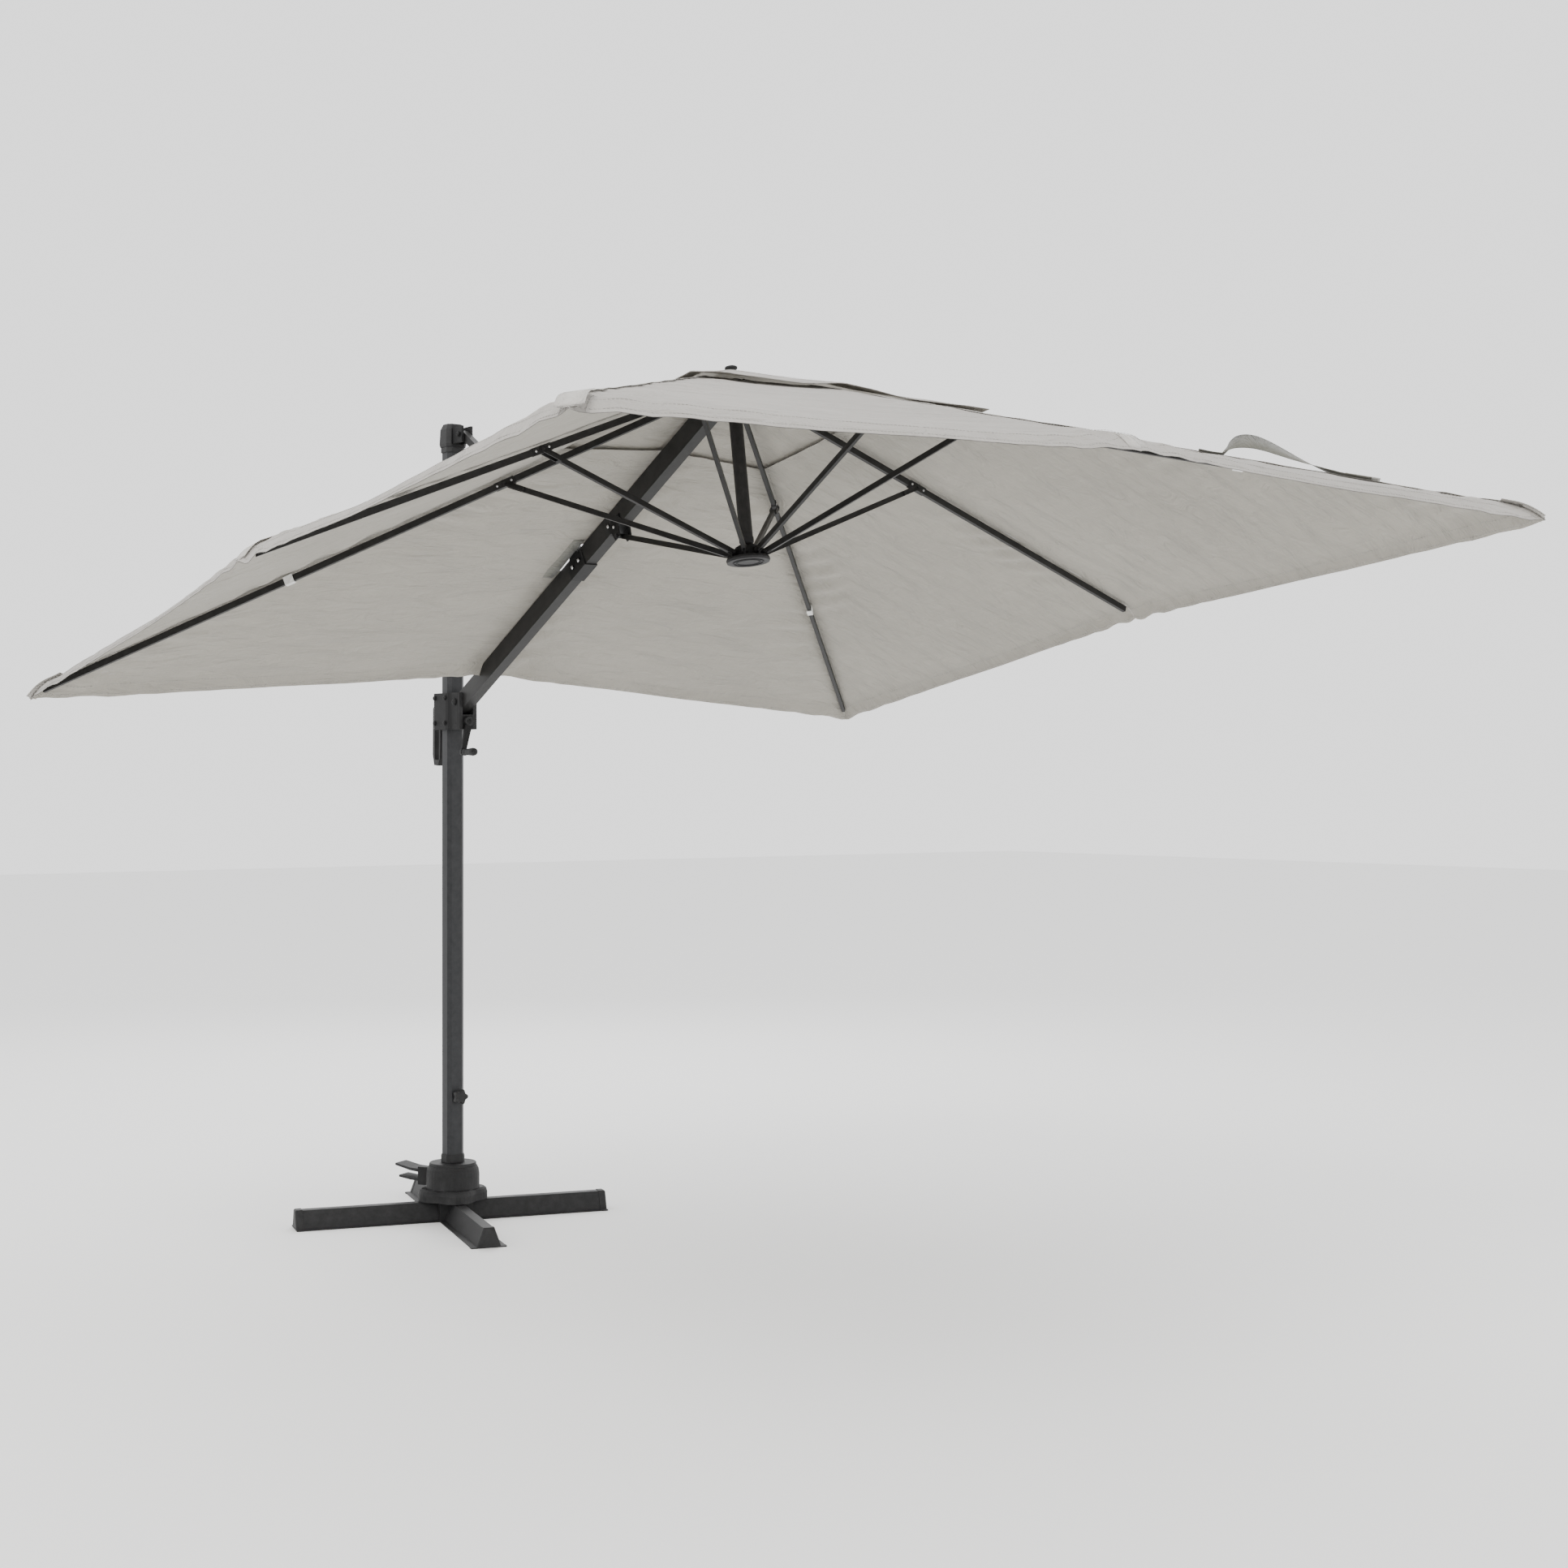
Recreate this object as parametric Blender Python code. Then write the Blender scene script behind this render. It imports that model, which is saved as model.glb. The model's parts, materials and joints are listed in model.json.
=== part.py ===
# Cantilever parasol: cross base, swivelling mast, cranked slider, folding arm with stay,
# eight-sided umbrella frame (seven ribs and the arm), struts, lower hub and fabric gores.
# Metres, +Z up. Origin at the centre of the base on the ground, the arm points along +X.
import bpy
import bmesh
import math
from mathutils import Vector, Matrix

# ---- driving dimensions ----
TILT = 0.15                     # canopy tilt, far side up
HUB_X, HUB_Z = 1.6139, 2.5967   # canopy centre
HALF = 1.5                      # half side of the square canopy
APEX_Z, MID_Z, CORNER_Z, ARM_EDGE_Z = 0.012, -0.595, -0.652, -0.532
VENT_HOLE, VENT_CAP = 0.35, 0.50
FABRIC_T = 0.0012
BASE_AZ = math.radians(73.9)
BASE_R, CAP_L, RAIL_H = 0.527, 0.024, 0.062
MAST_X, MAST_Y, MAST_CH, MAST_W = 0.029, 0.031, 0.012, 0.0025
MAST_BOT, MAST_TOP = 0.1903, 2.590
ARM_A = (0.08, 1.733)           # arm pivot on the slider (x, z)
LINK_T = (0.08, 2.625)          # stay pivot under the mast cap
LINK_L = (0.797, 2.179)         # stay pivot over the arm
HINGE_R, HINGE_Z = 0.05, -0.030
RIB_W, RIB_H = 0.0120, 0.0180
MID_END, COR_END = (1.455, -0.594), (2.080, -0.653)
PIN_MID_R, PIN_COR_D = 0.640, 0.650
ARM_PIN_D, ARM_PIN_E = 0.620, 0.056   # strut pin on the arm: from the hub pivot, and below the arm's axis

for ob in list(bpy.data.objects):
    bpy.data.objects.remove(ob, do_unlink=True)

CT, ST = math.cos(TILT), math.sin(TILT)
CANOPY = Matrix(((CT, 0, -ST, HUB_X), (0, 1, 0, 0), (ST, 0, CT, HUB_Z), (0, 0, 0, 1)))


def can(x, z, y=0.0):
    return CANOPY @ Vector((x, y, z))


MATS = {
    "rail_paint": ((0.028, 0.028, 0.030), 0.5, 0.4),
    "black_plastic": ((0.020, 0.020, 0.021), 0.55, 0.0),
    "mast_coat": ((0.045, 0.047, 0.050), 0.42, 0.4),
    "frame_coat": ((0.030, 0.030, 0.032), 0.42, 0.4),
    "canopy_fabric": ((0.42, 0.40, 0.365), 0.9, 0.0),
    "strap_fabric": ((0.55, 0.53, 0.50), 0.9, 0.0),
    "grip_plastic": ((0.055, 0.055, 0.058), 0.6, 0.0),
}


def material(node, slot):
    color, rough, metal = MATS[slot]
    m = bpy.data.materials.new(node + "_" + slot)
    m.use_nodes = True
    b = m.node_tree.nodes["Principled BSDF"]
    b.inputs["Base Color"].default_value = (*color, 1)
    b.inputs["Roughness"].default_value = rough
    b.inputs["Metallic"].default_value = metal
    return m


# ---- primitives: each returns (vertices, faces) ----
def box(lo, hi, mat=None):
    v = [Vector((x, y, z)) for z in (lo[2], hi[2]) for y in (lo[1], hi[1]) for x in (lo[0], hi[0])]
    f = [(0, 2, 3, 1), (4, 5, 7, 6), (0, 1, 5, 4), (2, 6, 7, 3), (0, 4, 6, 2), (1, 3, 7, 5)]
    return moved((v, f), mat)


def moved(shape, mat):
    v, f = shape
    return ([mat @ p for p in v], f) if mat is not None else (v, f)


def loft(rings, mat=None):
    n = len(rings[0])
    v = [Vector(p) for r in rings for p in r]
    f = [tuple(range(n - 1, -1, -1))]
    for k in range(len(rings) - 1):
        for i in range(n):
            j = (i + 1) % n
            f.append((k * n + i, k * n + j, (k + 1) * n + j, (k + 1) * n + i))
    f.append(tuple(range((len(rings) - 1) * n, len(rings) * n)))
    return moved((v, f), mat)


def prism(poly, z0, z1, mat=None):
    return loft([[(x, y, z0) for x, y in poly], [(x, y, z1) for x, y in poly]], mat)


def lathe(profile, n=24, mat=None):
    return loft([[(r * math.cos(2 * math.pi * i / n), r * math.sin(2 * math.pi * i / n), z) for i in range(n)]
                 for r, z in profile], mat)


def cyl(c, axis, r, length, n=16):
    q = Vector(axis).normalized().to_track_quat('Z', 'Y').to_matrix().to_4x4()
    return lathe([(r, -length / 2), (r, length / 2)], n, Matrix.Translation(Vector(c)) @ q)


def temp(shape):
    me = bpy.data.meshes.new("t")
    bm = bmesh.new()
    vs = [bm.verts.new(p) for p in shape[0]]
    for f in shape[1]:
        bm.faces.new([vs[i] for i in f])
    bmesh.ops.recalc_face_normals(bm, faces=bm.faces)
    bm.to_mesh(me)
    bm.free()
    ob = bpy.data.objects.new("t", me)
    bpy.context.scene.collection.objects.link(ob)
    return ob


def node(name, slot, adds, cuts=(), origin=(0, 0, 0)):
    ob = temp(adds[0])
    for kind, shapes in (("UNION", adds[1:]), ("DIFFERENCE", cuts)):
        for s in shapes:
            t = temp(s)
            m = ob.modifiers.new("b", 'BOOLEAN')
            m.operation, m.solver, m.object = kind, 'EXACT', t
            bpy.context.view_layer.update()
            me = bpy.data.meshes.new_from_object(ob.evaluated_get(bpy.context.evaluated_depsgraph_get()))
            ob.modifiers.clear()
            ob.data = me
            bpy.data.objects.remove(t, do_unlink=True)
    bm = bmesh.new()
    bm.from_mesh(ob.data)
    bmesh.ops.remove_doubles(bm, verts=bm.verts, dist=0.00002)
    bmesh.ops.triangulate(bm, faces=[f for f in bm.faces if len(f.verts) > 4], ngon_method='EAR_CLIP')
    o = Vector(origin)
    for v in bm.verts:
        v.co -= o
    bm.to_mesh(ob.data)
    bm.free()
    ob.data.materials.clear()
    ob.data.materials.append(material(name, slot))
    ob.name = name
    ob.location = o
    return ob


def rotz(a):
    return Matrix.Rotation(a, 4, 'Z')


# ---- base ----
node("base_center", "rail_paint", [box((-0.056, -0.056, 0), (0.056, 0.056, 0.064), rotz(BASE_AZ))])
HAT = [(-0.056, 0), (0.056, 0), (0.056, 0.004), (0.038, 0.004), (0.017, RAIL_H), (-0.017, RAIL_H), (-0.038, 0.004), (-0.056, 0.004)]
for k in range(4):
    m = rotz(BASE_AZ + k * math.pi / 2) @ Matrix(((0, 0, 1, 0), (1, 0, 0, 0), (0, 1, 0, 0), (0, 0, 0, 1)))
    node(f"base_arm_{k + 1}", "rail_paint", [prism(HAT, 0.0563, BASE_R - CAP_L, m)])
    big = [(x * 1.03, z * 1.03) for x, z in HAT]
    small = [(x * 0.97, z * 0.97) for x, z in HAT]
    m2 = m
    node(f"end_cap_{k + 1}", "black_plastic", [loft([[(x, y, BASE_R - CAP_L + 0.0003) for x, y in big],
         [(x, y, BASE_R - 0.004) for x, y in big], [(x, y, BASE_R) for x, y in small]], m2)])


def plate_ring(s, z, n=48):
    out = []
    for i in range(n):
        a = 2 * math.pi * i / n
        r = (0.093 + 0.024 * abs(math.cos(2 * a)) ** 1.6) * s
        out.append((r * math.cos(a), r * math.sin(a), z))
    return out


node("cover_plate", "black_plastic", [loft([plate_ring(1.0, 0.0645), plate_ring(1.0, 0.088), plate_ring(0.97, 0.099), plate_ring(0.90, 0.105)], rotz(BASE_AZ))])
PED = rotz(math.radians(208.9))
ears = [box((0.060, s * 0.0385 - 0.003, 0.112), (0.112, s * 0.0385 + 0.003, 0.172), PED) for s in (-1, 1)]
node("swivel_housing", "black_plastic", [lathe([(0.089, 0.1053), (0.089, 0.150), (0.0865, 0.168), (0.080, 0.180)], 40)] + ears)
for name, z0, dz, w, tip in (("pedal_upper", 0.156, 0.014, 0.033, 0.208), ("pedal_lower", 0.126, 0.004, 0.028, 0.196)):
    prof = [(0.0925, z0 - 0.006), (0.150, z0 - 0.004 + dz * 0.3), (tip, z0 + dz), (tip, z0 + dz + 0.007), (0.150, z0 + dz * 0.3 + 0.005), (0.0925, z0 + 0.006)]
    m = PED @ Matrix(((1, 0, 0, 0), (0, 0, -1, 0), (0, 1, 0, 0), (0, 0, 0, 1)))
    node(name, "grip_plastic", [prism(prof, -w, w, m)], origin=PED @ Vector((0.100, 0, z0)))

# ---- mast ----
def chamfered(hx, hy, c):
    return [(hx, -hy + c), (hx, hy - c), (hx - c, hy), (-hx + c, hy), (-hx, hy - c), (-hx, -hy + c), (-hx + c, -hy), (hx - c, -hy)]


node("mast_disc", "black_plastic", [lathe([(0.0785, 0.1803), (0.0785, 0.1875), (0.0765, 0.190)], 40)])
node("mast_tube", "mast_coat", [prism(chamfered(MAST_X, MAST_Y, MAST_CH), MAST_BOT, MAST_TOP)],
     [prism(chamfered(MAST_X - MAST_W, MAST_Y - MAST_W, MAST_CH - 0.001), MAST_BOT - 0.01, MAST_TOP + 0.01)])
cap = [loft([[(x, y, z) for x, y in chamfered(hx, hy, c)] for hx, hy, c, z in
      ((0.034, 0.036, 0.012, MAST_TOP + 0.0003), (0.036, 0.038, 0.013, 2.60), (0.034, 0.036, 0.013, 2.648), (0.026, 0.028, 0.011, 2.667))])]
for s in (-1, 1):
    cap.append(box((0.020, s * 0.0168 - 0.0036, 2.598), (0.099, s * 0.0168 + 0.0036, 2.652)))
    cap.append(cyl((LINK_T[0], s * 0.0225, LINK_T[1]), (0, 1, 0), 0.008, 0.006))
node("mast_cap", "black_plastic", cap)
star = [((0.0225 + 0.0035 * math.cos(5 * 2 * math.pi * i / 40)) * math.cos(2 * math.pi * i / 40),
         (0.0225 + 0.0035 * math.cos(5 * 2 * math.pi * i / 40)) * math.sin(2 * math.pi * i / 40)) for i in range(40)]
XM = Matrix(((0, 0, 1, 0), (1, 0, 0, 0), (0, 1, 0, 0.414), (0, 0, 0, 1)))
node("mast_knob", "black_plastic", [loft([[(x, y, 0.045) for x, y in star], [(x, y, 0.060) for x, y in star], [(x * .8, y * .8, 0.065) for x, y in star]], XM),
     lathe([(0.009, 0.0293), (0.009, 0.050)], 20, XM)], origin=(0.045, 0, 0.414))


# ---- stay, arm ----
def bar_frame(p, q):
    """Local x along p->q, local z up in the XZ plane, local y = world Y."""
    p, q = Vector((p[0], 0, p[1])), Vector((q[0], 0, q[1]))
    u = (q - p).normalized()
    w = u.cross(Vector((0, 1, 0)))
    if w.z < 0:
        w = -w
    v = w.cross(u)
    return Matrix(((u.x, v.x, w.x, p.x), (u.y, v.y, w.y, p.y), (u.z, v.z, w.z, p.z), (0, 0, 0, 1))), (q - p).length


F, L = bar_frame(LINK_T, LINK_L)
ys = Vector((0, 1, 0))
node("link_bar", "frame_coat", [box((0, -0.0115, -0.0125), (L, 0.0115, 0.0125), F),
     cyl((LINK_T[0], 0, LINK_T[1]), ys, 0.0125, 0.0245, 24), cyl((LINK_L[0], 0, LINK_L[1]), ys, 0.0125, 0.0245, 24)],
     origin=(LINK_T[0], 0, LINK_T[1]))
H0 = can(-0.05, -0.042)
F, L = bar_frame(ARM_A, (H0.x, H0.z))
node("arm_tube", "frame_coat", [box((-0.022, -0.0185, -0.030), (L - 0.060, 0.0185, 0.030), F)],
     [box((-0.030, -0.016, -0.0275), (L, 0.016, 0.0275), F)], origin=(LINK_L[0], 0, LINK_L[1]))
fork = [loft([[(L - 0.0597, y, z) for y, z in ((-0.018, -0.0295), (0.018, -0.0295), (0.018, 0.0295), (-0.018, 0.0295))],
              [(L - 0.024, y, z) for y, z in ((-0.012, -0.014), (0.012, -0.014), (0.012, 0.014), (-0.012, 0.014))]], F)]
for s in (-1, 1):
    fork.append(box((L - 0.030, s * 0.0062 - 0.0025, -0.010), (L + 0.008, s * 0.0062 + 0.0025, 0.010), F))
    fork.append(cyl((H0.x, s * 0.0105, H0.z), ys, 0.006, 0.0045))
node("arm_end_fork", "black_plastic", fork, origin=(LINK_L[0], 0, LINK_L[1]))
Fi = F.inverted()
l1 = Fi @ Vector((LINK_L[0], 0, LINK_L[1]))
sad = [box((l1.x - 0.045, s * 0.0207 - 0.0019, -0.0335), (l1.x + 0.045, s * 0.0207 + 0.0019, 0.018), F) for s in (-1, 1)]
sad += [loft([[(x, s * 0.0207 - 0.0019, z) for x, z in ((l1.x - 0.030, 0.010), (l1.x + 0.030, 0.010), (l1.x + 0.014, l1.z + 0.012), (l1.x - 0.014, l1.z + 0.012))],
              [(x, s * 0.0207 + 0.0019, z) for x, z in ((l1.x - 0.030, 0.010), (l1.x + 0.030, 0.010), (l1.x + 0.014, l1.z + 0.012), (l1.x - 0.014, l1.z + 0.012))]], F) for s in (-1, 1)]
sad.append(box((l1.x - 0.045, -0.0226, -0.0335), (l1.x + 0.045, 0.0226, -0.0303), F))
sad += [cyl(F @ Vector((l1.x + dx, s * 0.0235, -0.004)), ys, 0.0055, 0.004, 12) for s in (-1, 1) for dx in (-0.018, 0.022)]
sad += [cyl(F @ Vector((l1.x, s * 0.0240, l1.z)), ys, 0.0075, 0.006, 16) for s in (-1, 1)]
node("link_bracket", "black_plastic", sad, origin=(LINK_L[0], 0, LINK_L[1]))

# ---- folding geometry ----
mid_s = (HINGE_Z - MID_END[1]) / (MID_END[0] - HINGE_R)
cor_s = (HINGE_Z - COR_END[1]) / (COR_END[0] - HINGE_R)
mid_a, cor_a = math.atan(mid_s), math.atan(cor_s)
pin_mid = (PIN_MID_R, HINGE_Z - (PIN_MID_R - HINGE_R) * mid_s)
mid_d = (PIN_MID_R - HINGE_R) / math.cos(mid_a)
LOW_Z = HINGE_Z - 2 * (HINGE_Z - pin_mid[1])
pin_cor = (HINGE_R + PIN_COR_D * math.cos(cor_a), HINGE_Z - PIN_COR_D * math.sin(cor_a))


# arm strut pin: in the bracket's ears below the arm, clear of the arm all through the fold
hc = (-0.05, -0.042)
armdir = CANOPY.inverted().to_3x3() @ Vector((ARM_A[0] - H0.x, 0, ARM_A[1] - H0.z)).normalized()
perp = Vector((armdir.z, 0, -armdir.x))
if perp.z > 0:
    perp = -perp
pin_arm = (hc[0] + armdir.x * ARM_PIN_D + perp.x * ARM_PIN_E, hc[1] + armdir.z * ARM_PIN_D + perp.z * ARM_PIN_E)
wp = can(pin_arm[0], pin_arm[1])
lp = Fi @ wp
TEE = [(-0.038, -0.012), (-0.038, -0.0335), (-0.020, -0.0335), (-0.013, -0.065), (0.013, -0.065), (0.020, -0.0335), (0.038, -0.0335), (0.038, -0.002), (-0.030, -0.002)]
sb = [loft([[(lp.x + x, s * 0.0207 - 0.0019, z) for x, z in TEE], [(lp.x + x, s * 0.0207 + 0.0019, z) for x, z in TEE]], F) for s in (-1, 1)]
sb.append(box((lp.x - 0.036, -0.0206, -0.0332), (lp.x + 0.036, 0.0206, -0.0303), F))
sb += [cyl(F @ Vector((lp.x + dx, s * 0.0235, -0.008)), ys, 0.005, 0.004, 12) for s in (-1, 1) for dx in (-0.022, 0.022)]
sb += [cyl((wp.x, s * 0.0240, wp.z), ys, 0.006, 0.006, 16) for s in (-1, 1)]
node("strut_bracket", "black_plastic", sb, origin=(LINK_L[0], 0, LINK_L[1]))

# ---- slider, crank ----
half = [(-0.060, 0.0003), (-0.0296, 0.0003), (-0.0296, 0.0316), (0.0296, 0.0316), (0.0296, 0.0196), (0.104, 0.0196),
        (0.104, 0.033), (0.098, 0.036), (0.062, 0.037), (0.046, 0.044), (0.034, 0.046), (-0.044, 0.046), (-0.055, 0.042), (-0.060, 0.030)]
AO = (ARM_A[0], 0, ARM_A[1])
for name, s in (("slider_shell_right", 1), ("slider_shell_left", -1)):
    poly = [(x, y * s) for x, y in half]
    bolts = [cyl((x, s * 0.0465, z), ys, 0.008, 0.005, 14) for x, z in ((-0.040, 1.748), (0.030, 1.748), (-0.040, 1.664), (0.030, 1.664))]
    bolts.append(cyl((ARM_A[0], s * 0.037, ARM_A[1]), ys, 0.012, 0.006, 16))
    node(name, "black_plastic", [prism(poly, 1.642, 1.764)] + bolts, origin=AO)
node("crank_drum", "black_plastic", [box((0.0302, -0.0192, 1.642), (0.1042, 0.0192, 1.691)),
     cyl((0.0700, 0, 1.668), (1, 0, 0), 0.0170, 0.0700, 20)], origin=AO)
YM = Matrix(((1, 0, 0, 0), (0, 0, -1, 0), (0, 1, 0, 0), (0, 0, 0, 1)))
node("slider_handle", "black_plastic", [prism([(-0.0603, 1.745), (-0.088, 1.745), (-0.112, 1.715), (-0.114, 1.56), (-0.104, 1.524), (-0.078, 1.522), (-0.064, 1.545), (-0.0603, 1.60)], -0.015, 0.015, YM)],
     [prism([(-0.070, 1.695), (-0.099, 1.695), (-0.099, 1.543), (-0.0705, 1.541)], -0.03, 0.03, YM)], origin=AO)
node("grip_lever", "grip_plastic", [prism([(-0.0712, 1.692), (-0.0782, 1.692), (-0.0790, 1.665), (-0.0765, 1.640), (-0.0795, 1.618), (-0.0765, 1.595), (-0.0800, 1.556), (-0.0738, 1.556), (-0.0712, 1.60)], -0.010, 0.010, YM)],
     origin=(-0.0747, 0, 1.690))
CR = (0.1115, 0, 1.668)
KN = (0.1115, -0.022, 1.566)
d = (Vector(KN) - Vector(CR)).normalized()
sd = Vector((0, -d.z, d.y))


def crank_ring(t, w):
    c = Vector((0, CR[1], CR[2])) + d * t
    return [c + sd * w, c - sd * w]


cr = [cyl(CR, (1, 0, 0), 0.016, 0.0130, 20), cyl(KN, (1, 0, 0), 0.0115, 0.0110, 16)]
a0, a1 = crank_ring(0.0, 0.0125), crank_ring(0.1043, 0.0085)
quad = [a0[0], a0[1], a1[1], a1[0]]
cr.append(loft([[(0.1065, p.y, p.z) for p in quad], [(0.1155, p.y, p.z) for p in quad]]))
node("crank_arm", "black_plastic", cr, origin=CR)
node("crank_knob", "black_plastic", [lathe([(0.0085, 0.1174), (0.0125, 0.123), (0.0105, 0.140), (0.0135, 0.178), (0.0120, 0.188), (0.006, 0.192)], 20,
     Matrix(((0, 0, 1, 0), (1, 0, 0, KN[1]), (0, 1, 0, KN[2]), (0, 0, 0, 1))))], origin=(0.1174, KN[1], KN[2]))

# ---- hubs and post ----
hub = [lathe([(0.034, -0.052), (0.034, -0.018), (0.028, -0.012)], 30)]
low = [lathe([(0.028, -0.026 + LOW_Z), (0.034, -0.018 + LOW_Z), (0.034, 0.016 + LOW_Z), (0.024, 0.022 + LOW_Z)], 30),
       lathe([(0.0595, -0.026 + LOW_Z), (0.0615, -0.020 + LOW_Z), (0.0595, -0.014 + LOW_Z)], 40)]
for k in range(8):
    z = -0.042 if k == 4 else HINGE_Z
    hub.append(box((0.028, -0.003, z - 0.008), (0.056, 0.003, z + 0.008), rotz(k * math.pi / 4)))
    low.append(box((0.028, -0.003, LOW_Z - 0.015), (0.056, 0.003, LOW_Z + 0.008), rotz(k * math.pi / 4)))
node("top_hub", "black_plastic", [moved(s, CANOPY) for s in hub], origin=H0)
node("hub_post", "frame_coat", [lathe([(0.019, LOW_Z + 0.045), (0.019, -0.0523)], 28, CANOPY)],
     [lathe([(0.0165, LOW_Z + 0.035), (0.0165, -0.040)], 28, CANOPY)], origin=H0)
node("post_plug", "black_plastic", [lathe([(0.014, LOW_Z + 0.0225), (0.0205, LOW_Z + 0.030), (0.0205, LOW_Z + 0.0447)], 28, CANOPY)], origin=H0)
node("finial", "black_plastic", [lathe([(0.030, 0.0225), (0.030, 0.027), (0.022, 0.034), (0.010, 0.037)], 32, CANOPY)], origin=H0)
node("lower_hub", "black_plastic", [moved(s, CANOPY) for s in low], origin=can(HINGE_R, LOW_Z))

# ---- ribs and struts ----
NAMES = ["px", "pxpy", "py", "nxpy", "arm", "nxny", "ny", "pxny"]


def slanted(p, q, az):
    """Local x from p to q (radius, height), local y tangential, local z up; turned to az and put in the canopy."""
    u = Vector((q[0] - p[0], 0, q[1] - p[1]))
    ln = u.length
    u.normalize()
    w = u.cross(Vector((0, 1, 0)))
    if w.z < 0:
        w = -w
    v = w.cross(u)
    m = Matrix(((u.x, v.x, w.x, p[0]), (u.y, v.y, w.y, 0), (u.z, v.z, w.z, p[1]), (0, 0, 0, 1)))
    return CANOPY @ rotz(az) @ m, ln


for k, nm in enumerate(NAMES):
    az = k * math.pi / 4
    corner = k % 2 == 1
    tang = (CANOPY @ rotz(az)).to_3x3() @ Vector((0, 1, 0))
    end = COR_END if corner else MID_END
    if nm != "arm":
        M, ln = slanted((HINGE_R, HINGE_Z), end, az)
        pd = PIN_COR_D if corner else mid_d
        hw, hh = RIB_W / 2, RIB_H / 2
        adds = [box((0.016, -hw, -hh), (ln, hw, hh), M)]
        adds += [box((-0.006, s * 0.0047 - 0.0010, -0.007), (0.020, s * 0.0047 + 0.0010, 0.007), M) for s in (-1, 1)]
        adds += [cyl(M @ Vector((0, s * 0.0066, 0)), tang, 0.004, 0.0020, 12) for s in (-1, 1)]
        adds.append(box((pd - 0.030, -0.0078, -0.0105), (pd + 0.030, 0.0078, 0.0105), M))
        cut = [box((0.060, -hw + 0.0014, -hh + 0.0014), (ln + 0.02, hw - 0.0014, hh - 0.0014), M)]
        node("rib_" + nm, "frame_coat", adds, cut, origin=M @ Vector((0, 0, 0)))
        pin = (pin_cor if corner else pin_mid)
        cw, cl = 0.0096, 0.058
    else:
        pin = (-pin_arm[0], pin_arm[1])
        cw, cl = 0.0, 0.0
    S, sl = slanted((HINGE_R, LOW_Z), pin, az)
    if nm == "arm":
        adds = [box((0.016, -0.0055, -0.0075), (sl, 0.0055, 0.0075), S), cyl(S @ Vector((sl, 0, 0)), tang, 0.0075, 0.0360, 16)]
    else:
        adds = [box((0.016, -0.0055, -0.0075), (sl - cl + 0.002, 0.0055, 0.0075), S),
                box((sl - cl - 0.004, -0.0108, -0.0069), (sl - cl + 0.0055, 0.0108, 0.0069), S)]
        adds += [box((sl - cl + 0.001, s * cw - 0.0014, -0.0072), (sl + 0.008, s * cw + 0.0014, 0.0072), S) for s in (-1, 1)]
        adds += [cyl(S @ Vector((sl, s * 0.0118, 0)), tang, 0.0045, 0.0022, 12) for s in (-1, 1)]
    adds += [box((-0.006, s * 0.0048 - 0.0012, -0.007), (0.020, s * 0.0048 + 0.0012, 0.007), S) for s in (-1, 1)]
    adds += [cyl(S @ Vector((0, s * 0.0068, 0)), tang, 0.004, 0.0020, 12) for s in (-1, 1)]
    org = S @ Vector((sl, 0, 0)) if nm == "px" else S @ Vector((0, 0, 0))
    node("strut_" + nm, "frame_coat", adds, origin=org)


# ---- fabric gores: one along each rib, cut halfway to its neighbours ----
def cloth_z(x, y):
    """Height of the taut cloth: flat gores between the eight rib lines of the square canopy."""
    s = max(abs(x), abs(y))
    t = min(abs(x), abs(y))
    edge = ARM_EDGE_Z if (x < 0 and abs(x) >= abs(y)) else MID_Z
    if s < 1e-9:
        return APEX_Z
    return APEX_Z + (edge - APEX_Z) * s / HALF + (CORNER_Z - edge) * t / HALF


def sheet_panel(name, slot, pts, faces, lift, t, org, cuts=()):
    n = len(pts)
    v = [CANOPY @ Vector((x, y, cloth_z(x, y) + lift)) for x, y in pts]
    v += [CANOPY @ Vector((x, y, cloth_z(x, y) + lift + t)) for x, y in pts]
    f = [tuple(reversed(q)) for q in faces] + [tuple(i + n for i in q) for q in faces]
    count = {}
    for q in faces:
        for i in range(len(q)):
            e = (q[i], q[(i + 1) % len(q)])
            count[frozenset(e)] = count.get(frozenset(e), []) + [e]
    for e in count.values():
        if len(e) == 1:
            a, b = e[0]
            f.append((a, b, b + n, a + n))
    return node(name, slot, [(v, f)], cuts, origin=org)


T8 = math.tan(math.pi / 8)
for k, nm in enumerate(NAMES):
    az = k * math.pi / 4
    pts = []
    for h in (VENT_HOLE, (VENT_HOLE + HALF) / 2, HALF):
        for da in (-1, 0, 1):
            a = az + da * (math.pi / 8 - 0.0002)
            m = h / max(abs(math.cos(a)), abs(math.sin(a)))
            pts.append((m * math.cos(a), m * math.sin(a)))
    faces = []
    for r in range(2):
        for c in range(2):
            i = r * 3 + c
            q = (i, i + 3, i + 4, i + 1)
            faces += [q]
    tri = []
    for q in faces:
        tri += [(q[0], q[1], q[2]), (q[0], q[2], q[3])]
    org = (LINK_L[0], 0, LINK_L[1]) if nm == "arm" else CANOPY @ rotz(az) @ Vector((HINGE_R, 0, HINGE_Z))
    slit = [box((-0.965, -0.028, -0.55), (-0.812, 0.028, -0.15), CANOPY)] if nm == "arm" else []
    sheet_panel("canopy_panel_" + nm, "canopy_fabric", pts, tri, 0.0, FABRIC_T, org, slit)
pts, faces = [(0.0, 0.0)], []
for h in (VENT_CAP / 2, VENT_CAP):
    for i in range(16):
        a = i * math.pi / 8
        m = h / max(abs(math.cos(a)), abs(math.sin(a)))
        pts.append((m * math.cos(a), m * math.sin(a)))
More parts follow.
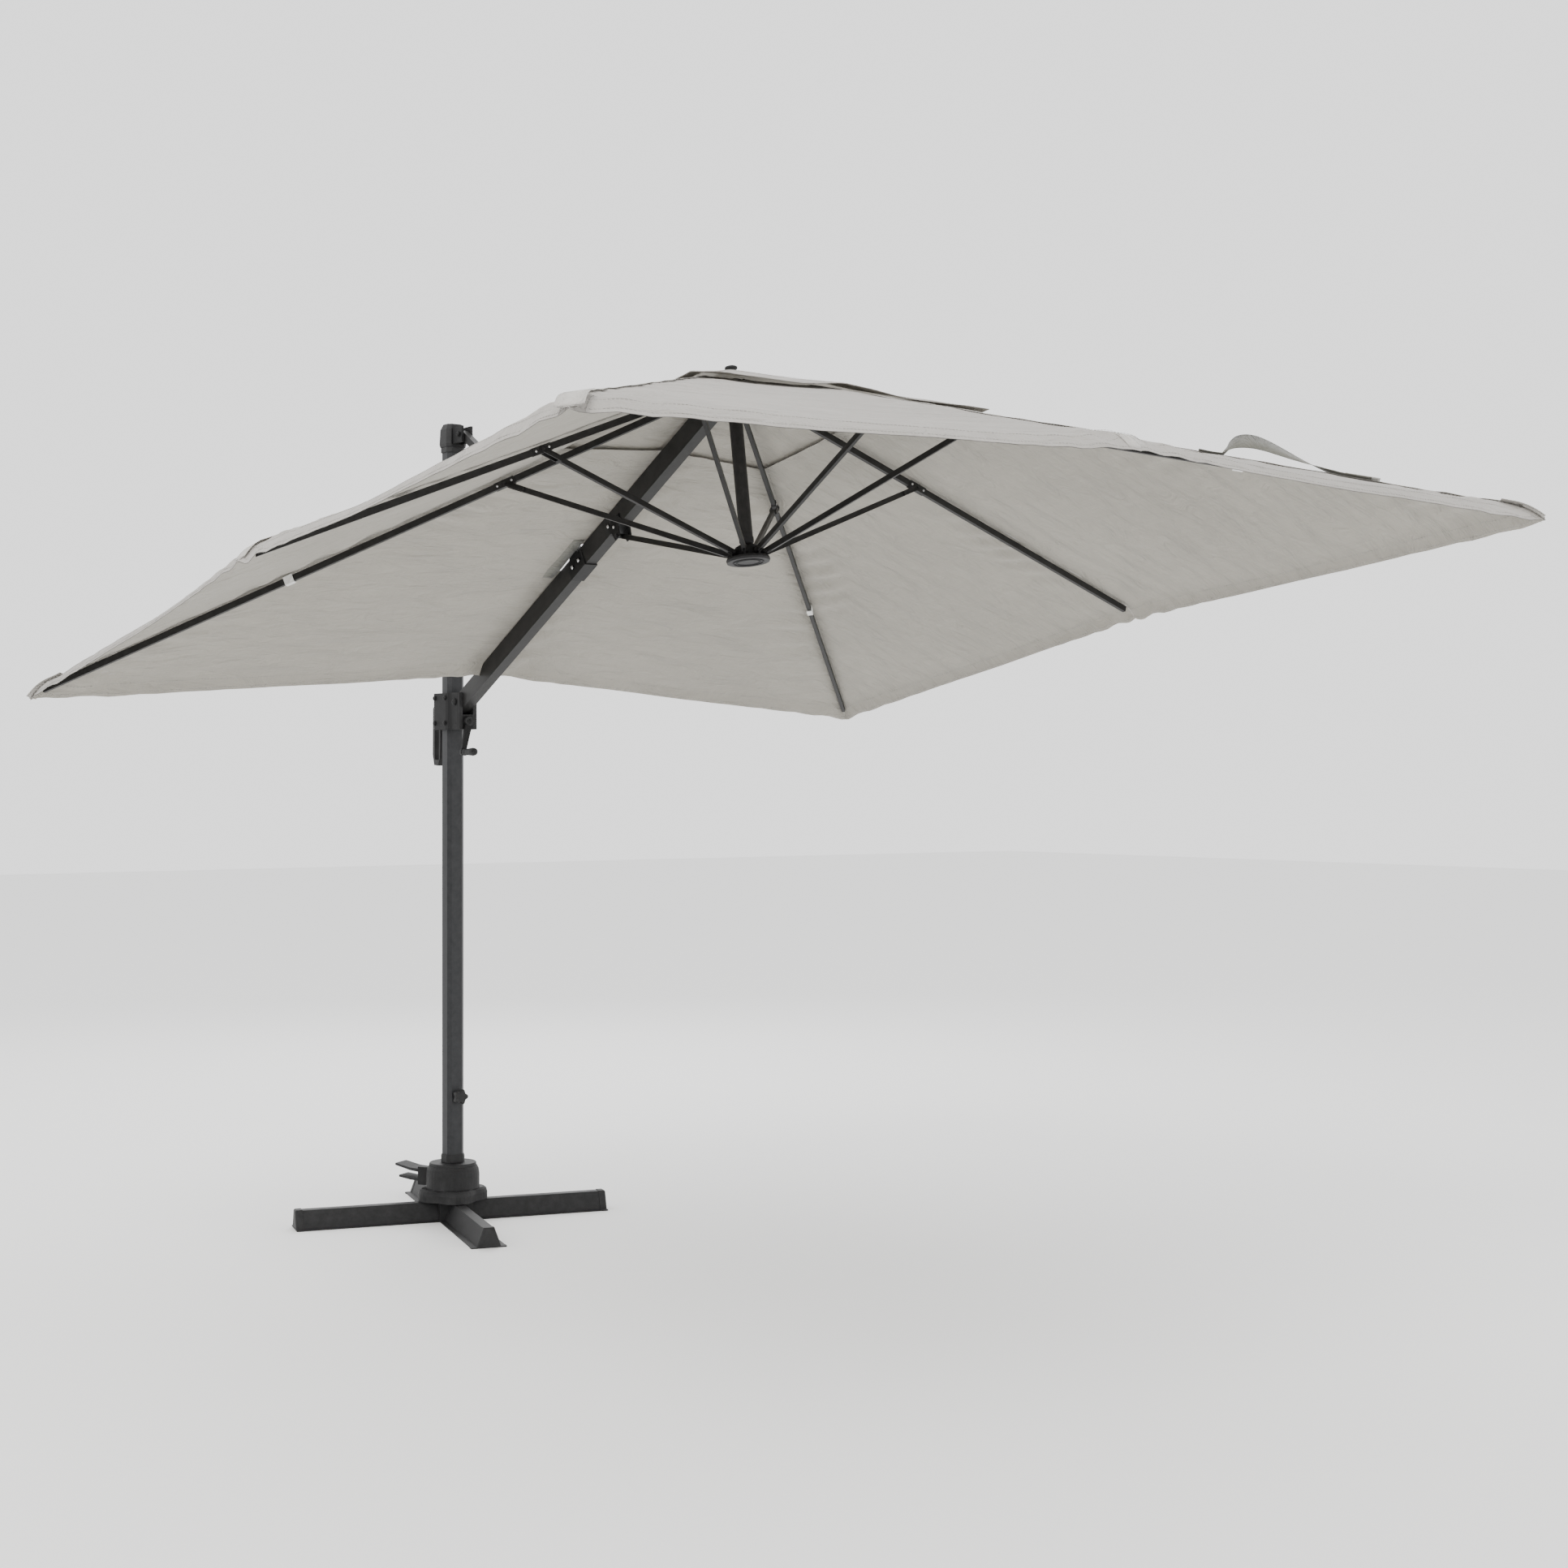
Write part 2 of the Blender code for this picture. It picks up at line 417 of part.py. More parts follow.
for i in range(16):
    j = (i + 1) % 16
    faces.append((0, 1 + i, 1 + j))
    faces += [(1 + i, 17 + i, 17 + j), (1 + i, 17 + j, 1 + j)]
sheet_panel("vent_cap", "canopy_fabric", pts, faces, 0.0085, FABRIC_T, H0)
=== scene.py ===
import json
import math

import bpy
import bmesh
import numpy as np
from mathutils import Matrix, Vector, noise


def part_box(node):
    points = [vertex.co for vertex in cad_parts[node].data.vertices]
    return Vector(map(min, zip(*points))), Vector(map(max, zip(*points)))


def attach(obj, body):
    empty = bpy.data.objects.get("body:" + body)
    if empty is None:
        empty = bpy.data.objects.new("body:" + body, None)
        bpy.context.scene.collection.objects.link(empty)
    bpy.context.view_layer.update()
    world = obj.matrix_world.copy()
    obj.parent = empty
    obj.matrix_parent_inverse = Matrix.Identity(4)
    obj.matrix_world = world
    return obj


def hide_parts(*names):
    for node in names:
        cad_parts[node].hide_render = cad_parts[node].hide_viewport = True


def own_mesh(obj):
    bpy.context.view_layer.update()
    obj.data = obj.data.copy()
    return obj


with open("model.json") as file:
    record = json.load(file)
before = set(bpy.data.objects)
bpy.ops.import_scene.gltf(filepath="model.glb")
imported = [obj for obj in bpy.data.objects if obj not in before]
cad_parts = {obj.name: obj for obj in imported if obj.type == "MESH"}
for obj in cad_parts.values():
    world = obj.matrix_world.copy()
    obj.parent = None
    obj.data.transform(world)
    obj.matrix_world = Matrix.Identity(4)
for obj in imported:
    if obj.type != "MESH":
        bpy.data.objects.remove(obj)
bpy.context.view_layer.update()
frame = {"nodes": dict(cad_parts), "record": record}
NODES = frame["nodes"]

TILT, HUB_X, HUB_Z, HALF = 0.15, 1.6139, 2.5967, 1.5
APEX, MIDE, CORN, ARME = 0.012, -0.595, -0.652, -0.532
CT, ST = math.cos(TILT), math.sin(TILT)
CANOPY = Matrix(((CT, 0, -ST, HUB_X), (0, 1, 0, 0), (ST, 0, CT, HUB_Z), (0, 0, 0, 1)))
NAMES = ["px", "pxpy", "py", "nxpy", "arm", "nxny", "ny", "pxny"]


# ---------------------------------------------------------------- materials
def new_mat(name):
    m = bpy.data.materials.new(name)
    m.use_nodes = True
    nt = m.node_tree
    return m, nt, nt.nodes["Principled BSDF"]


def nd(nt, kind, **values):
    n = nt.nodes.new(kind)
    for k, v in values.items():
        if k in n.inputs:
            n.inputs[k].default_value = v
        else:
            setattr(n, k, v)
    return n


def ramp(nt, fac, stops):
    r = nt.nodes.new("ShaderNodeValToRGB")
    while len(r.color_ramp.elements) < len(stops):
        r.color_ramp.elements.new(0.5)
    for e, (p, c) in zip(r.color_ramp.elements, stops):
        e.position, e.color = p, (*c, 1)
    nt.links.new(fac, r.inputs[0])
    return r.outputs[0]


def hard(name, c0, c1, rough, metal, grain=900.0, bump=0.12, wear=None, coat=0.0):
    """Powder coat or moulded plastic: mottled colour, fine orange peel or spark-eroded grain, scuffed edges."""
    m, nt, b = new_mat(name)
    tc = nd(nt, "ShaderNodeTexCoord")
    big = nd(nt, "ShaderNodeTexNoise", Scale=6.0, Detail=5.0, Roughness=0.6)
    fine = nd(nt, "ShaderNodeTexNoise", Scale=grain, Detail=3.0, Roughness=0.6)
    dust = nd(nt, "ShaderNodeTexNoise", Scale=38.0, Detail=6.0, Roughness=0.7)
    for n in (big, fine, dust):
        nt.links.new(tc.outputs["Object"], n.inputs["Vector"])
    col = ramp(nt, big.outputs["Fac"], [(0.3, c0), (0.7, c1)])
    mix = nd(nt, "ShaderNodeMix", data_type="RGBA")
    geo = nd(nt, "ShaderNodeNewGeometry")
    edge = ramp(nt, geo.outputs["Pointiness"], [(0.515, (0, 0, 0)), (0.57, (1, 1, 1))])
    mul = nd(nt, "ShaderNodeMath", operation="MULTIPLY")
    nt.links.new(edge, mul.inputs[0])
    nt.links.new(dust.outputs["Fac"], mul.inputs[1])
    nt.links.new(mul.outputs[0], mix.inputs["Factor"])
    nt.links.new(col, mix.inputs["A"])
    mix.inputs["B"].default_value = (*(wear or tuple(min(1, 2.2 * c + 0.02) for c in c1)), 1)
    nt.links.new(mix.outputs["Result"], b.inputs["Base Color"])
    mr = nd(nt, "ShaderNodeMapRange")
    mr.inputs["To Min"].default_value, mr.inputs["To Max"].default_value = rough - 0.07, rough + 0.09
    nt.links.new(dust.outputs["Fac"], mr.inputs["Value"])
    nt.links.new(mr.outputs[0], b.inputs["Roughness"])
    b.inputs["Metallic"].default_value = metal
    b.inputs["Coat Weight"].default_value = coat
    b.inputs["Specular IOR Level"].default_value = 0.5 if metal else 0.20
    bp = nd(nt, "ShaderNodeBump", Strength=bump, Distance=0.0004)
    nt.links.new(fine.outputs["Fac"], bp.inputs["Height"])
    nt.links.new(bp.outputs[0], b.inputs["Normal"])
    return m


def cloth(name, light, dark, rough=0.88, trans=0.22, weave=1150.0, wrinkle=1.0):
    """Woven polyester: crossed yarns, a fine melange, slow dye variation, soft sheen and a little light let through."""
    m, nt, b = new_mat(name)
    tc = nd(nt, "ShaderNodeTexCoord")
    turn = nd(nt, "ShaderNodeMapping")
    turn.inputs["Rotation"].default_value = (0, TILT, 0)
    nt.links.new(tc.outputs["Object"], turn.inputs["Vector"])
    wx = nd(nt, "ShaderNodeTexWave", Scale=weave / 6.283 * 0.5, Distortion=1.2, Detail=2.0, bands_direction="X")
    wy = nd(nt, "ShaderNodeTexWave", Scale=weave / 6.283 * 0.5, Distortion=1.2, Detail=2.0, bands_direction="Y")
    mel = nd(nt, "ShaderNodeTexNoise", Scale=420.0, Detail=4.0, Roughness=0.7)
    slub = nd(nt, "ShaderNodeTexNoise", Scale=60.0, Detail=3.0)
    slow = nd(nt, "ShaderNodeTexNoise", Scale=1.7, Detail=3.0)
    stretch = nd(nt, "ShaderNodeMapping")
    stretch.inputs["Scale"].default_value = (0.15, 3.0, 1.0)
    nt.links.new(turn.outputs[0], stretch.inputs["Vector"])
    nt.links.new(stretch.outputs[0], slub.inputs["Vector"])
    for n in (wx, wy, mel, slow):
        nt.links.new(turn.outputs[0], n.inputs["Vector"])
    a = nd(nt, "ShaderNodeMath", operation="MULTIPLY")
    nt.links.new(wx.outputs["Fac"], a.inputs[0])
    nt.links.new(wy.outputs["Fac"], a.inputs[1])
    s1 = nd(nt, "ShaderNodeMath", operation="MULTIPLY_ADD")
    s1.inputs[1].default_value, s1.inputs[2].default_value = 0.35, 0.0
    nt.links.new(mel.outputs["Fac"], s1.inputs[0])
    s2 = nd(nt, "ShaderNodeMath", operation="MULTIPLY_ADD")
    s2.inputs[1].default_value = 0.25
    nt.links.new(slub.outputs["Fac"], s2.inputs[0])
    nt.links.new(s1.outputs[0], s2.inputs[2])
    s3 = nd(nt, "ShaderNodeMath", operation="MULTIPLY_ADD")
    s3.inputs[1].default_value = 0.40
    nt.links.new(slow.outputs["Fac"], s3.inputs[0])
    nt.links.new(s2.outputs[0], s3.inputs[2])
    col = ramp(nt, s3.outputs[0], [(0.30, dark), (0.68, light)])
    nt.links.new(col, b.inputs["Base Color"])
    b.inputs["Roughness"].default_value = rough
    b.inputs["Sheen Weight"].default_value = 0.18
    b.inputs["Sheen Roughness"].default_value = 0.5
    b.inputs["Specular IOR Level"].default_value = 0.25
    crease = nd(nt, "ShaderNodeTexNoise", Scale=7.0, Detail=4.0, Roughness=0.62, Distortion=1.4)
    squeeze = nd(nt, "ShaderNodeMapping")
    squeeze.inputs["Rotation"].default_value = (0, 0, 0.6)
    squeeze.inputs["Scale"].default_value = (2.6, 0.8, 1.0)
    nt.links.new(turn.outputs[0], squeeze.inputs["Vector"])
    nt.links.new(squeeze.outputs[0], crease.inputs["Vector"])
    cb = nd(nt, "ShaderNodeBump", Strength=0.85, Distance=0.022 * wrinkle)
    nt.links.new(crease.outputs["Fac"], cb.inputs["Height"])
    bp = nd(nt, "ShaderNodeBump", Strength=0.35, Distance=0.0005)
    nt.links.new(a.outputs[0], bp.inputs["Height"])
    nt.links.new(cb.outputs[0], bp.inputs["Normal"])
    nt.links.new(bp.outputs[0], b.inputs["Normal"])
    if trans:
        tr = nd(nt, "ShaderNodeBsdfTranslucent")
        nt.links.new(col, tr.inputs["Color"])
        mx = nd(nt, "ShaderNodeMixShader")
        mx.inputs[0].default_value = trans
        out = nt.nodes["Material Output"]
        nt.links.new(b.outputs[0], mx.inputs[1])
        nt.links.new(tr.outputs[0], mx.inputs[2])
        nt.links.new(mx.outputs[0], out.inputs["Surface"])
    return m


RAIL = hard("rail_powder_coat", (0.0035, 0.0035, 0.0038), (0.0058, 0.0058, 0.0062), 0.55, 0.0, 700, 0.22)
PLAS = hard("moulded_black_plastic", (0.0044, 0.0044, 0.0046), (0.0072, 0.0072, 0.0075), 0.56, 0.0, 1500, 0.25)
MAST = hard("mast_powder_coat", (0.0065, 0.0069, 0.0078), (0.0095, 0.0100, 0.0112), 0.46, 0.0, 900, 0.14)
TUBE = hard("frame_powder_coat", (0.0040, 0.0039, 0.0037), (0.0064, 0.0062, 0.0060), 0.44, 0.0, 900, 0.14)
GRIP = hard("grip_plastic", (0.0085, 0.0085, 0.0090), (0.0130, 0.0130, 0.0136), 0.64, 0.0, 1100, 0.35)
STEEL = hard("zinc_plated_steel", (0.46, 0.46, 0.47), (0.60, 0.60, 0.61), 0.30, 1.0, 600, 0.08, wear=(0.8, 0.8, 0.8))
OUT = cloth("canopy_cloth_outside", (0.455, 0.434, 0.406), (0.375, 0.357, 0.332))
IN = cloth("canopy_cloth_underside", (0.435, 0.414, 0.366), (0.355, 0.337, 0.297))
TRIM = cloth("hem_tape_cloth", (0.50, 0.483, 0.452), (0.40, 0.385, 0.36), trans=0.05, weave=900.0)
FLAP = cloth("slit_patch_cloth", (0.235, 0.232, 0.205), (0.165, 0.163, 0.142), trans=0.12)
STRAP = cloth("strap_webbing", (0.150, 0.148, 0.128), (0.095, 0.094, 0.080), trans=0.0, weave=800.0)
WHITE = cloth("white_webbing", (0.80, 0.80, 0.78), (0.66, 0.66, 0.64), trans=0.0, weave=700.0)
THREAD = cloth("sewing_thread", (0.40, 0.385, 0.355), (0.29, 0.28, 0.26), trans=0.0, weave=2600.0)

SLOT_MAT = {"rail_paint": RAIL, "black_plastic": PLAS, "mast_coat": MAST, "frame_coat": TUBE, "grip_plastic": GRIP, "canopy_fabric": OUT}
for sp in frame["record"]["subparts"]:
    o = NODES[sp["node"]]
    o.data.materials.clear()
    o.data.materials.append(SLOT_MAT[sp["material_slot"]])
    if sp["material_slot"] != "canopy_fabric":
        w = 0.0035 if sp["node"].startswith(("slider_shell", "mast_cap", "slider_handle", "end_cap")) else 0.0012
        if sp["node"].startswith(("rib_", "strut_", "top_hub", "lower_hub", "arm_end")):
            w = 0.0006
        bv = o.modifiers.new("edge", "BEVEL")
        bv.width, bv.segments, bv.limit_method, bv.angle_limit = w, 2, "ANGLE", math.radians(38)
        bv.harden_normals = False
        for p in o.data.polygons:
            p.use_smooth = True
        es = o.modifiers.new("shade", "EDGE_SPLIT")
        es.split_angle = math.radians(42)


# ---------------------------------------------------------------- cloth shape
def wrap(a):
    return (a + math.pi) % (2 * math.pi) - math.pi


def cloth_z(x, y):
    """The sewn canopy: held up along the eight rib lines, dipping between them, with small pulls by the seams."""
    s, t = max(abs(x), abs(y)), min(abs(x), abs(y))
    edge = ARME if (x < 0 and abs(x) >= abs(y)) else MIDE
    z = APEX + (edge - APEX) * s / HALF + (CORN - edge) * t / HALF
    a = math.atan2(y, x)
    q = a / (math.pi / 4)
    tau = q - math.floor(q)
    r = math.hypot(x, y)
    g = s / HALF
    z -= 0.017 * math.sin(math.pi * tau) ** 2 * (0.25 + 0.75 * g) * g
    k = round(q) % 8
    off = abs(wrap(a - k * math.pi / 4)) * r
    n = noise.noise(Vector((r * 9.0, k * 3.7, math.copysign(1.7, wrap(a - k * math.pi / 4)) + off * 5)))
    z += 0.0040 * n * math.exp(-((off - 0.035) / 0.05) ** 2) * min(1, 3 * g)
    z += 0.0070 * noise.noise(Vector((x * 2.6, y * 2.6, 4.0))) * math.sin(math.pi * tau) ** 2 * g
    drop = min(1.0, max(0.0, (s - 1.448) / 0.052))
    z -= 0.028 * drop * drop
    pull = math.exp(-((HALF - s) / 0.16) ** 2)
    z += 0.0048 * pull * math.sin(off * 62 + 1.3 * k) * math.exp(-off / 0.18)
    puck = max(0.0, noise.noise(Vector((r * 2.3, k * 5.1, 8.0 if wrap(a - k * math.pi / 4) > 0 else 2.0))) + 0.15)
    z += 0.0105 * puck * math.sin(r * 58 + off * 34 + 5 * noise.noise(Vector((r * 2.6, k * 2.2, 1.0)))) * math.exp(-((off - 0.075) / 0.060) ** 2) * min(1, 2 * g)
    z += 0.0011 * math.exp(-(off / 0.010) ** 2)
    return z


def plan(az, u, h):
    """A plan point of the section at azimuth az: u from -1 to 1 across it, h its square distance from the middle."""
    a = az + u * math.pi / 8
    m = h / max(abs(math.cos(a)), abs(math.sin(a)))
    q = a / (math.pi / 4)
    tau = q - math.floor(q)
    m *= 1 - 0.007 * math.sin(math.pi * tau) ** 2 * max(0.0, (h - 1.0) / 0.5)
    return m * math.cos(a), m * math.sin(a)


def link(name, verts, faces, mats, fmat=None, smooth=True):
    me = bpy.data.meshes.new(name)
    me.from_pydata([tuple(v) for v in verts], [], faces)
    for m in mats:
        me.materials.append(m)
    if fmat:
        for p, i in zip(me.polygons, fmat):
            p.material_index = i
    for p in me.polygons:
        p.use_smooth = smooth
    me.update()
    o = bpy.data.objects.new(name, me)
    bpy.context.scene.collection.objects.link(o)
    return o


def shell(name, grid_pts, rows, cols, up, down, mats, drop=None, zf=None):
    """A closed thin cloth from a rows x cols grid of plan points; up and down give its upper and lower offsets."""
    vt, vb, faces, fm = [], [], [], []
    for i, (x, y) in enumerate(grid_pts):
        z = (zf or cloth_z)(x, y)
        vt.append(CANOPY @ Vector((x, y, z + up(i, x, y))))
        vb.append(CANOPY @ Vector((x, y, z + down(i, x, y))))
    n = len(grid_pts)
    edges = {}
    area = 0.0
    for r in range(rows - 1):
        for c in range(cols - 1):
            i = r * cols + c
            q = (i, i + cols, i + cols + 1, i + 1)
            if drop and drop(sum(grid_pts[j][0] for j in q) / 4, sum(grid_pts[j][1] for j in q) / 4):
                continue
            faces.append(q)
            fm.append(0)
            faces.append(tuple(j + n for j in reversed(q)))
            fm.append(1)
            a, b, c2, d = (vt[j] for j in q)
            area += ((b - a).cross(c2 - a).length + (c2 - a).cross(d - a).length) / 2
            for k in range(4):
                e = (q[k], q[(k + 1) % 4])
                edges.setdefault(frozenset(e), []).append(e)
    for es in edges.values():
        if len(es) == 1:
            a, b = es[0]
            faces.append((b, a, a + n, b + n))
            fm.append(0)
    ob = link(name, vt + vb, faces, mats, fm)
    e, f0 = 0.004, zf or cloth_z
    nrm = []
    for x, y in grid_pts:
        gx = (f0(x + e, y) - f0(x - e, y)) / (2 * e)
        gy = (f0(x, y + e) - f0(x, y - e)) / (2 * e)
        nrm.append((CANOPY.to_3x3() @ Vector((-gx, -gy, 1))).normalized())
    ob.data.normals_split_custom_set_from_vertices([tuple(v) for v in nrm] + [tuple(-v) for v in nrm])
    return ob, area


def dashes(lines, side, pitch=0.010, length=0.0062, width=0.0011, height=0.0008):
    """Rows of stitches that lie on the cloth; side is 1 above and -1 below."""
    verts, faces = [], []
    for line, lift in lines:
        pts = [Vector(p) for p in line]
        seg = [(pts[i + 1] - pts[i]).length for i in range(len(pts) - 1)]
        total, s = sum(seg), pitch / 2
        i, done = 0, 0.0
        while s < total - length:
            while i < len(seg) - 1 and done + seg[i] < s:
                done += seg[i]
                i += 1
            u = (pts[i + 1] - pts[i]).normalized()
            c = pts[i] + u * (s - done)
            t = Vector((-u.y, u.x))
            for e in (-1, 1):
                for w in (-1, 1):
                    p = c + u * (e * length / 2) + t * (w * width / 2)
                    z = cloth_z(p.x, p.y)
                    for h in (0, 1):
                        verts.append(CANOPY @ Vector((p.x, p.y, z + lift + side * height * h)))
            b = len(verts) - 8
            faces += [(b, b + 4, b + 6, b + 2), (b + 1, b + 3, b + 7, b + 5), (b, b + 1, b + 5, b + 4),
                      (b + 2, b + 6, b + 7, b + 3), (b, b + 2, b + 3, b + 1), (b + 4, b + 5, b + 7, b + 6)]
            s += pitch
    return verts, faces


def gather(o, body):
    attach(o, body)
    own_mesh(o)


ROWS, COLS = 104, 41
HEM, T = 0.034, 0.0011


def spread_u(c):
    s = -1 + 2 * c / (COLS - 1)
    return math.copysign(abs(s) ** 1.7, s)


def slit(x, y):
    return -0.958 < x < -0.820 and abs(y) < 0.0232


def band(name, az, u0, u1, h0, h1, lift, t, nr, nc, mats):
    pts = [plan(az, u0 + (u1 - u0) * c / (nc - 1), h0 + (h1 - h0) * r / (nr - 1)) for r in range(nr) for c in range(nc)]
    return shell(name, pts, nr, nc, lambda i, x, y: lift + t, lambda i, x, y: lift, mats)[0]


def merge(name, objs):
    verts, faces, fm, mats = [], [], [], []
    for o in objs:
        b = len(verts)
        verts += [v.co.copy() for v in o.data.vertices]
        for p in o.data.polygons:
            m = o.data.materials[p.material_index]
            if m not in mats:
                mats.append(m)
            faces.append(tuple(b + i for i in p.vertices))
            fm.append(mats.index(m))
        bpy.data.objects.remove(o, do_unlink=True)
    return link(name, verts, faces, mats, fm)


def strip(name, pts, half, t, mat, side=0.0):
    """A flat tape of width 2*half along plan/height points (x, y, z) in the canopy frame."""
    verts, faces = [], []
    n = len(pts)
    for i, p in enumerate(pts):
        q0, q1 = pts[max(0, i - 1)], pts[min(n - 1, i + 1)]
        d = Vector((q1[0] - q0[0], q1[1] - q0[1], q1[2] - q0[2])).normalized()
        w = Vector((-d.y, d.x, 0)).normalized()
        up = d.cross(w) * -1
        if up.z < 0:
            up = -up
        for s, h in ((-1, 0), (1, 0), (1, 1), (-1, 1)):
            verts.append(CANOPY @ (Vector(p) + w * (half * s + side) + up * (t * h)))
    for i in range(n - 1):
        b = i * 4
        for k in range(4):
            faces.append((b + k, b + (k + 1) % 4, b + 4 + (k + 1) % 4, b + 4 + k))
    faces += [(3, 2, 1, 0), tuple((n - 1) * 4 + k for k in range(4))]
    return link(name, verts, faces, [mat], smooth=False)


VH, VC = 0.35, 0.497
for k, nm in enumerate(NAMES):
    az = k * math.pi / 4
    body = "arm" if nm == "arm" else "rib_" + nm
    hs = [VH + (1.5 - VH) * (r / (ROWS - 5)) for r in range(ROWS - 4)]
    hs = sorted(set([round(h, 6) for h in hs] + [VH + 0.022, VH + 0.0225, 1.5 - HEM, 1.5 - HEM - 0.0006]))
    pts = [plan(az, spread_u(c), h) for h in hs for c in range(COLS)]

    def thick(i, x, y, hs=hs):
        h = hs[i // COLS]
        return 0.0006 if (h >= 1.5 - HEM - 1e-9 or h <= VH + 0.0221) else 0.0

    o, area = shell("cloth_" + nm, pts, len(hs), COLS, lambda i, x, y: T + thick(i, x, y),
                    lambda i, x, y: -thick(i, x, y) * 0.8, [OUT, IN], slit if nm == "arm" else None)
    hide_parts("canopy_panel_" + nm)
    gather(o, body)

    # sewing: seam tape over the rib, hem rows, rib pocket
    bits = []
    rmax = 1.5 / max(abs(math.cos(az)), abs(math.sin(az)))
    rmin = VH * rmax / 1.5
    ca, sa = math.cos(az), math.sin(az)

    def ray(r, t, ca=ca, sa=sa):
        return (ca * r - sa * t, sa * r + ca * t)

    def on(r, t, lift):
        x, y = ray(r, t)
        return (x, y, cloth_z(x, y) + lift)

    nr = 60
    parts = [(rmin, rmax - 0.002)]
    if nm == "arm":
        parts = [(rmin, 0.805), (0.972, rmax - 0.002)]
    for r0, r1 in parts:
        bits.append(strip("tape", [on(r0 + (r1 - r0) * i / nr, 0, T + 0.0001) for i in range(nr + 1)], 0.011, 0.0006, TRIM))
    lines = []
    for t in (-0.0088, 0.0088):
        for r0, r1 in parts:
            lines.append(([ray(r0 + (r1 - r0) * i / nr, t) for i in range(nr + 1)], T + 0.0007))
    for h in (1.5 - 0.006, 1.5 - HEM + 0.004):
        lines.append(([plan(az, -1 + 2 * i / 60, h) for i in range(61)], T + 0.0006))
    lines.append(([plan(az, -1 + 2 * i / 60, VH + 0.018) for i in range(61)], T + 0.0006))
    v1, f1 = dashes(lines, 1)
    low = []
    for h in (1.5 - 0.006, 1.5 - HEM + 0.004):
        low.append(([plan(az, -1 + 2 * i / 60, h) for i in range(61)], -0.0005))
    for t in (-0.0120, 0.0120):
        for r0, r1 in parts:
            low.append(([ray(r0 + (r1 - r0) * i / nr, t) for i in range(nr + 1)], 0.0))
    v2, f2 = dashes(low, -1)
    bits.append(link("th", v1 + v2, f1 + [tuple(i + len(v1) for i in f) for f in f2], [THREAD], smooth=False))
    # pocket that holds the rib's end, with its box stitch
    pk = 0.105
    if nm != "arm":
        bits.append(strip("pk", [on(rmax - 0.004 - pk + pk * i / 12, 0, T + 0.0009) for i in range(13)], 0.030, 0.0009, TRIM))
        bits.append(strip("pku", [on(rmax - 0.006 - 0.050 + 0.050 * i / 8, 0, -0.0016) for i in range(9)], 0.024, 0.0009, TRIM))
        v3, f3 = dashes([([ray(rmax - 0.008 - pk + (pk - 0.004) * i / 20, t) for i in range(21)], T + 0.0017) for t in (-0.026, 0.026)]
                        + [([ray(rmax - 0.008 - pk, -0.026 + 0.052 * i / 8) for i in range(9)], T + 0.0017)], 1)
        bits.append(link("th3", v3, f3, [THREAD], smooth=False))
    else:
        # reinforced slit that the stay passes through, with its darker see-through flap
        for t in (-0.0500, 0.0500):
            bits.append(strip("sl", [on(0.79 + 0.20 * i / 20, t, T + 0.0002) for i in range(21)], 0.026, 0.0009, FLAP))
            bits.append(strip("slu", [on(0.79 + 0.20 * i / 20, t, -0.0012) for i in range(21)], 0.026, 0.0009, FLAP))
        for r0, r1 in ((0.775, 0.812), (0.965, 1.010)):
            bits.append(strip("se", [on(r0 + (r1 - r0) * i / 6, 0, T + 0.0004) for i in range(7)], 0.0775, 0.0009, FLAP))
        v3, f3 = dashes([([ray(0.785 + 0.215 * i / 20, t) for i in range(21)], T + 0.0014) for t in (-0.073, -0.031, 0.031, 0.073)], 1)
        bits.append(link("th3", v3, f3, [THREAD], smooth=False))
    s = merge("sewing_" + nm, bits)
    gather(s, body)

# ---------------------------------------------------------------- upper vent cloth
LIFT = 0.0085


def cap_z(x, y):
    """The cap floats a little over the main cloth and lifts towards its free edge, with a slack ripple along the hem."""
    s, t = max(abs(x), abs(y)), min(abs(x), abs(y))
    g = s / VC
    return cloth_z(x, y) + LIFT + 0.009 * g ** 2 + 0.0035 * g ** 3 * math.sin(9.5 * math.atan2(y, x) + 1.0)


def cap_stitch(verts, faces, path):
    for i in range(0, len(path) - 1):
        a, b = Vector(path[i]), Vector(path[i + 1])
        u = (b - a).normalized()
        c = (a + b) / 2
        t = Vector((-u.y, u.x))
        for e in (-1, 1):
            for w in (-1, 1):
                p = c + u * e * 0.0031 + t * w * 0.00055
                for h in (0, 1):
                    verts.append(CANOPY @ Vector((p.x, p.y, cap_z(p.x, p.y) + T + 0.0007 + 0.0007 * h)))
        q = len(verts) - 8
        faces.extend([(q, q + 4, q + 6, q + 2), (q + 1, q + 3, q + 7, q + 5), (q, q + 1, q + 5, q + 4),
                      (q + 2, q + 6, q + 7, q + 3), (q, q + 2, q + 3, q + 1), (q + 4, q + 5, q + 7, q + 6)])


